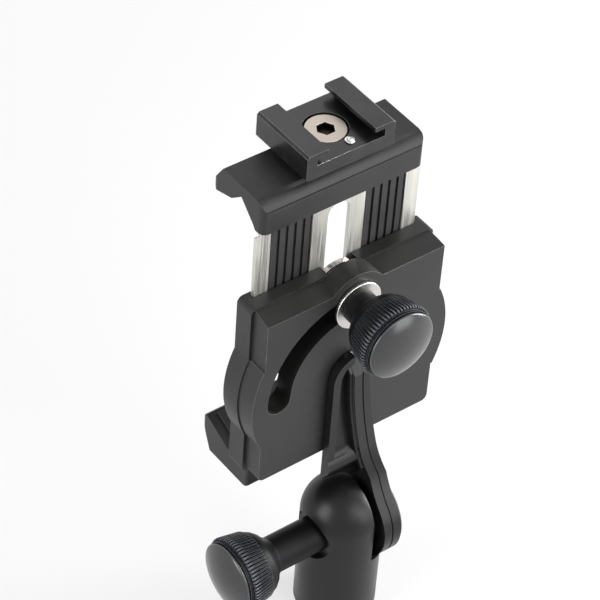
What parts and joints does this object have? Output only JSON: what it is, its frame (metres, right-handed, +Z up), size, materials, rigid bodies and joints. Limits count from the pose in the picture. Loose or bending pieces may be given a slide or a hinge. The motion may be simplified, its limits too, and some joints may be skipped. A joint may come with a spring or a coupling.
{
  "type": "tripod phone mount adapter",
  "caption": "Phone clamp with a sliding upper jaw and an accessory shoe, which pans on a curved arm and tilts on a post with a tripod socket.",
  "frame": {"origin": "centre of the tripod socket's mouth, under the post", "axes": "+Z up the post, +X along a phone held level, +Y away from the lock knob towards the phone"},
  "size_m": [0.065, 0.0453, 0.1413],
  "materials": {
    "black_plastic": "fine satin moulded texture",
    "black_alloy": "black anodised, satin",
    "cap_grey": "satin dome",
    "rubber": "matt",
    "nylon": "matt",
    "stainless": "brushed along its length",
    "plated_steel": "plated",
    "brass": "turned"
  },
  "bodies": {
    "base": {"tilt_post": "black_plastic", "tripod_bush": "brass", "foot_pad": "rubber", "tilt_washer": "nylon"},
    "arm": {"tilt_arm": "black_plastic", "ear_nut": "plated_steel", "ear_cap": "black_plastic", "pan_washer": "nylon", "lever_plate": "stainless", "pivot_screw": "stainless", "lock_bush": "stainless", "lock_washer": "stainless"},
    "clamp": {"back_cover": "black_plastic", "front_body": "black_plastic", "cover_screws": "plated_steel", "lower_jaw": "black_plastic", "lower_jaw_pad": "rubber", "lower_jaw_screws": "plated_steel"},
    "jaw": {"slide_plate": "stainless", "grip_pad_left": "rubber", "grip_pad_right": "rubber", "stop_pin": "plated_steel", "upper_jaw": "black_plastic", "upper_jaw_pad": "rubber", "jaw_rivets": "plated_steel", "cold_shoe": "black_alloy", "shoe_screw": "stainless", "shoe_nut": "brass", "shoe_pin": "stainless"},
    "lock": {"lock_knob": "black_alloy", "lock_knob_cap": "cap_grey", "lock_stud": "plated_steel"},
    "tilt_lock": {"tilt_knob": "black_alloy", "tilt_knob_cap": "cap_grey", "tilt_stud": "plated_steel"}
  },
  "joints": [
    {"name": "tilt", "type": "hinge", "parent": "base", "child": "arm", "pos_m": [0, 0, 0.0277], "axis": [1, 0, 0], "range_deg": [-75, 90]},
    {"name": "pan", "type": "hinge", "parent": "arm", "child": "clamp", "pos_m": [0, 0.0018, 0.0779], "axis": [0, 1, 0], "range_deg": [0, 90]},
    {"name": "jaw_slide", "type": "slide", "parent": "clamp", "child": "jaw", "axis": [0, 0, 1], "range_m": [-0.0185, 0.0131]},
    {"name": "lock_knob_turn", "type": "hinge", "parent": "arm", "child": "lock", "pos_m": [0, -0.0146, 0.0985], "axis": [0, 1, 0], "continuous": true},
    {"name": "tilt_knob_turn", "type": "hinge", "parent": "arm", "child": "tilt_lock", "pos_m": [-0.034, 0, 0.0277], "axis": [1, 0, 0], "continuous": true}
  ]
}
